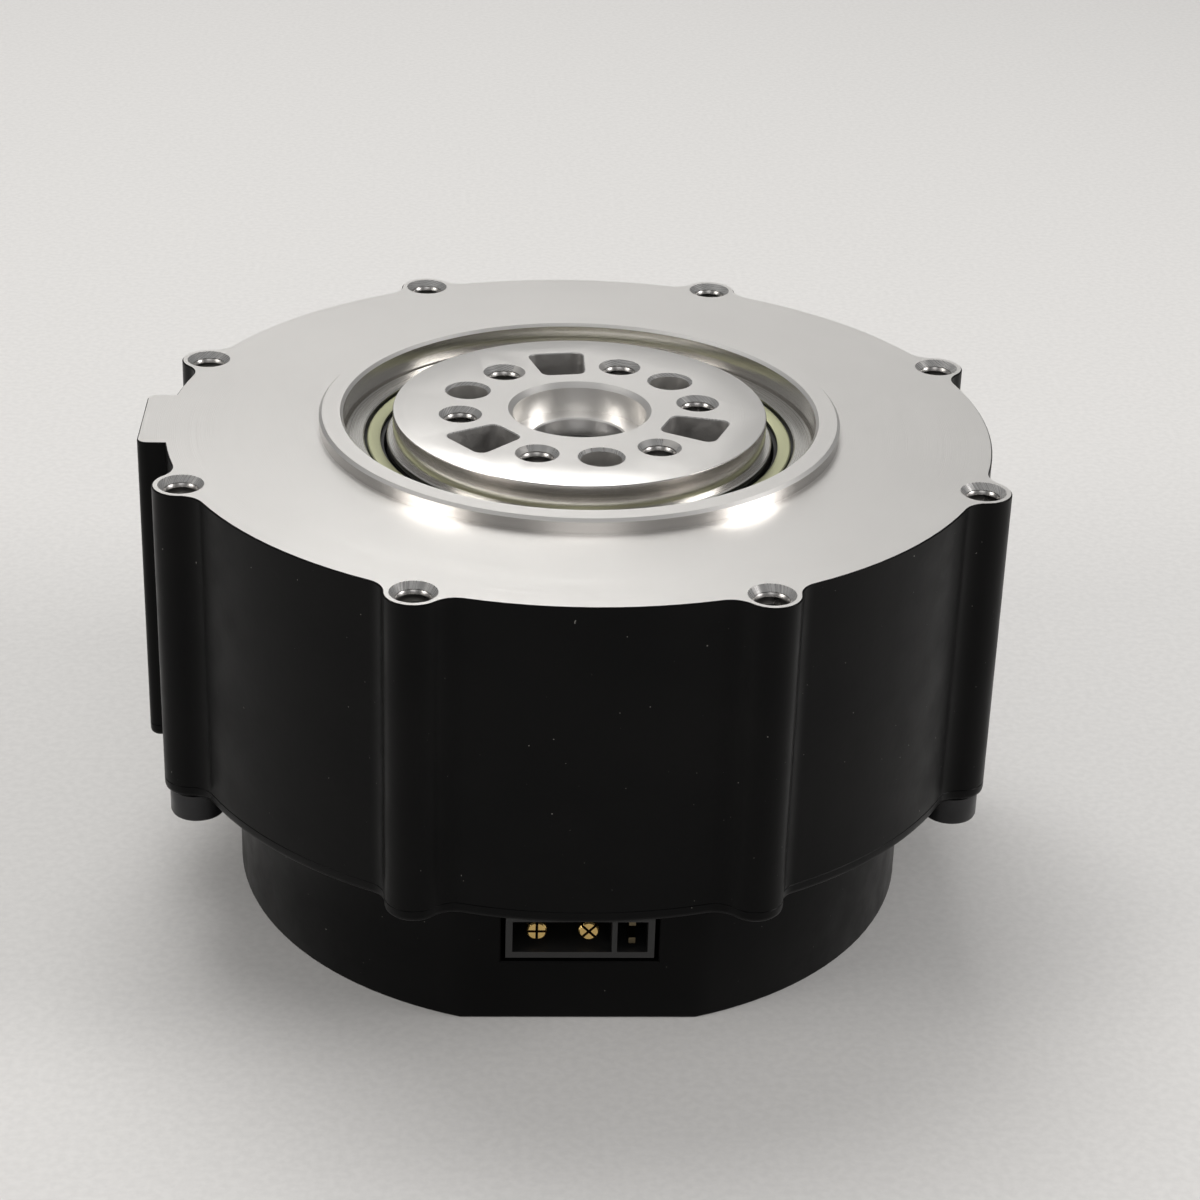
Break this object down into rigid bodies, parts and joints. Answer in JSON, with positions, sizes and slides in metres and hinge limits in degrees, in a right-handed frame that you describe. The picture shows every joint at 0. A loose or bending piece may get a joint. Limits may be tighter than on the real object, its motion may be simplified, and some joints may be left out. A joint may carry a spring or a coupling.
{
  "type": "robot joint actuator",
  "caption": "Flat round joint actuator: motor and planetary gear set in a round housing with screw columns, with a drilled output flange and a socket in its controller case.",
  "frame": {"origin": "on the output axis, at the face that the controller case stands on", "axes": "+Z along the output axis towards the output flange, -Y towards the connector, -X towards the index pad"},
  "size_m": [0.0843, 0.082, 0.0503],
  "materials": {
    "black_housing": "satin black coat over aluminium",
    "bare_aluminium": "fine turned",
    "hard_steel": "ground",
    "race_steel": "ground and polished",
    "black_steel": "black oxide",
    "magnet_nickel": "nickel plate",
    "lamination": "stacked sheet",
    "copper_wire": "enamelled copper",
    "board_laminate": "solder mask",
    "black_plastic": "moulded",
    "gold_contact": "gold plate"
  },
  "bodies": {
    "housing": {"front_housing": "black_housing", "rear_cover": "black_housing", "cover_screws": "black_steel", "controller_case": "black_housing", "controller_board": "board_laminate", "power_transistors": "black_plastic", "processor_chip": "black_plastic", "sensor_chip": "black_plastic", "capacitors": "bare_aluminium", "connector_shell": "black_plastic", "power_pins": "gold_contact", "signal_pins": "gold_contact", "ring_gear": "hard_steel", "bearing_outer_race": "race_steel", "stator_core": "lamination", "stator_windings": "copper_wire", "phase_leads": "copper_wire", "lower_bearing": "race_steel"},
    "output": {"output_flange": "bare_aluminium", "carrier_plate": "bare_aluminium", "planet_pins": "hard_steel", "bearing_inner_race": "race_steel", "upper_bearing": "race_steel"},
    "rotor": {"sun_shaft": "hard_steel", "rotor_cup": "hard_steel", "rotor_magnets": "magnet_nickel", "sensor_magnet": "magnet_nickel"},
    "planet_1": {"planet_gear_1": "hard_steel"},
    "planet_2": {"planet_gear_2": "hard_steel"},
    "planet_3": {"planet_gear_3": "hard_steel"}
  },
  "joints": [
    {"name": "rotor_spin", "type": "hinge", "parent": "housing", "child": "rotor", "pos_m": [0, 0, 0.0205], "axis": [0, 0, 1], "continuous": true},
    {"name": "output_spin", "type": "hinge", "parent": "housing", "child": "output", "pos_m": [0, 0, 0.0441], "axis": [0, 0, 1], "continuous": true},
    {"name": "planet_1_spin", "type": "hinge", "parent": "output", "child": "planet_1", "pos_m": [0.00171, -0.01188, 0.03515], "axis": [0, 0, 1], "continuous": true},
    {"name": "planet_2_spin", "type": "hinge", "parent": "output", "child": "planet_2", "pos_m": [0.00943, 0.00742, 0.03515], "axis": [0, 0, 1], "continuous": true},
    {"name": "planet_3_spin", "type": "hinge", "parent": "output", "child": "planet_3", "pos_m": [-0.01114, 0.00446, 0.03515], "axis": [0, 0, 1], "continuous": true}
  ],
  "couplings": [
    {"joint": "output_spin", "follows": "rotor_spin", "ratio": 0.1},
    {"joint": "planet_1_spin", "follows": "rotor_spin", "ratio": -0.225},
    {"joint": "planet_2_spin", "follows": "rotor_spin", "ratio": -0.225},
    {"joint": "planet_3_spin", "follows": "rotor_spin", "ratio": -0.225}
  ]
}
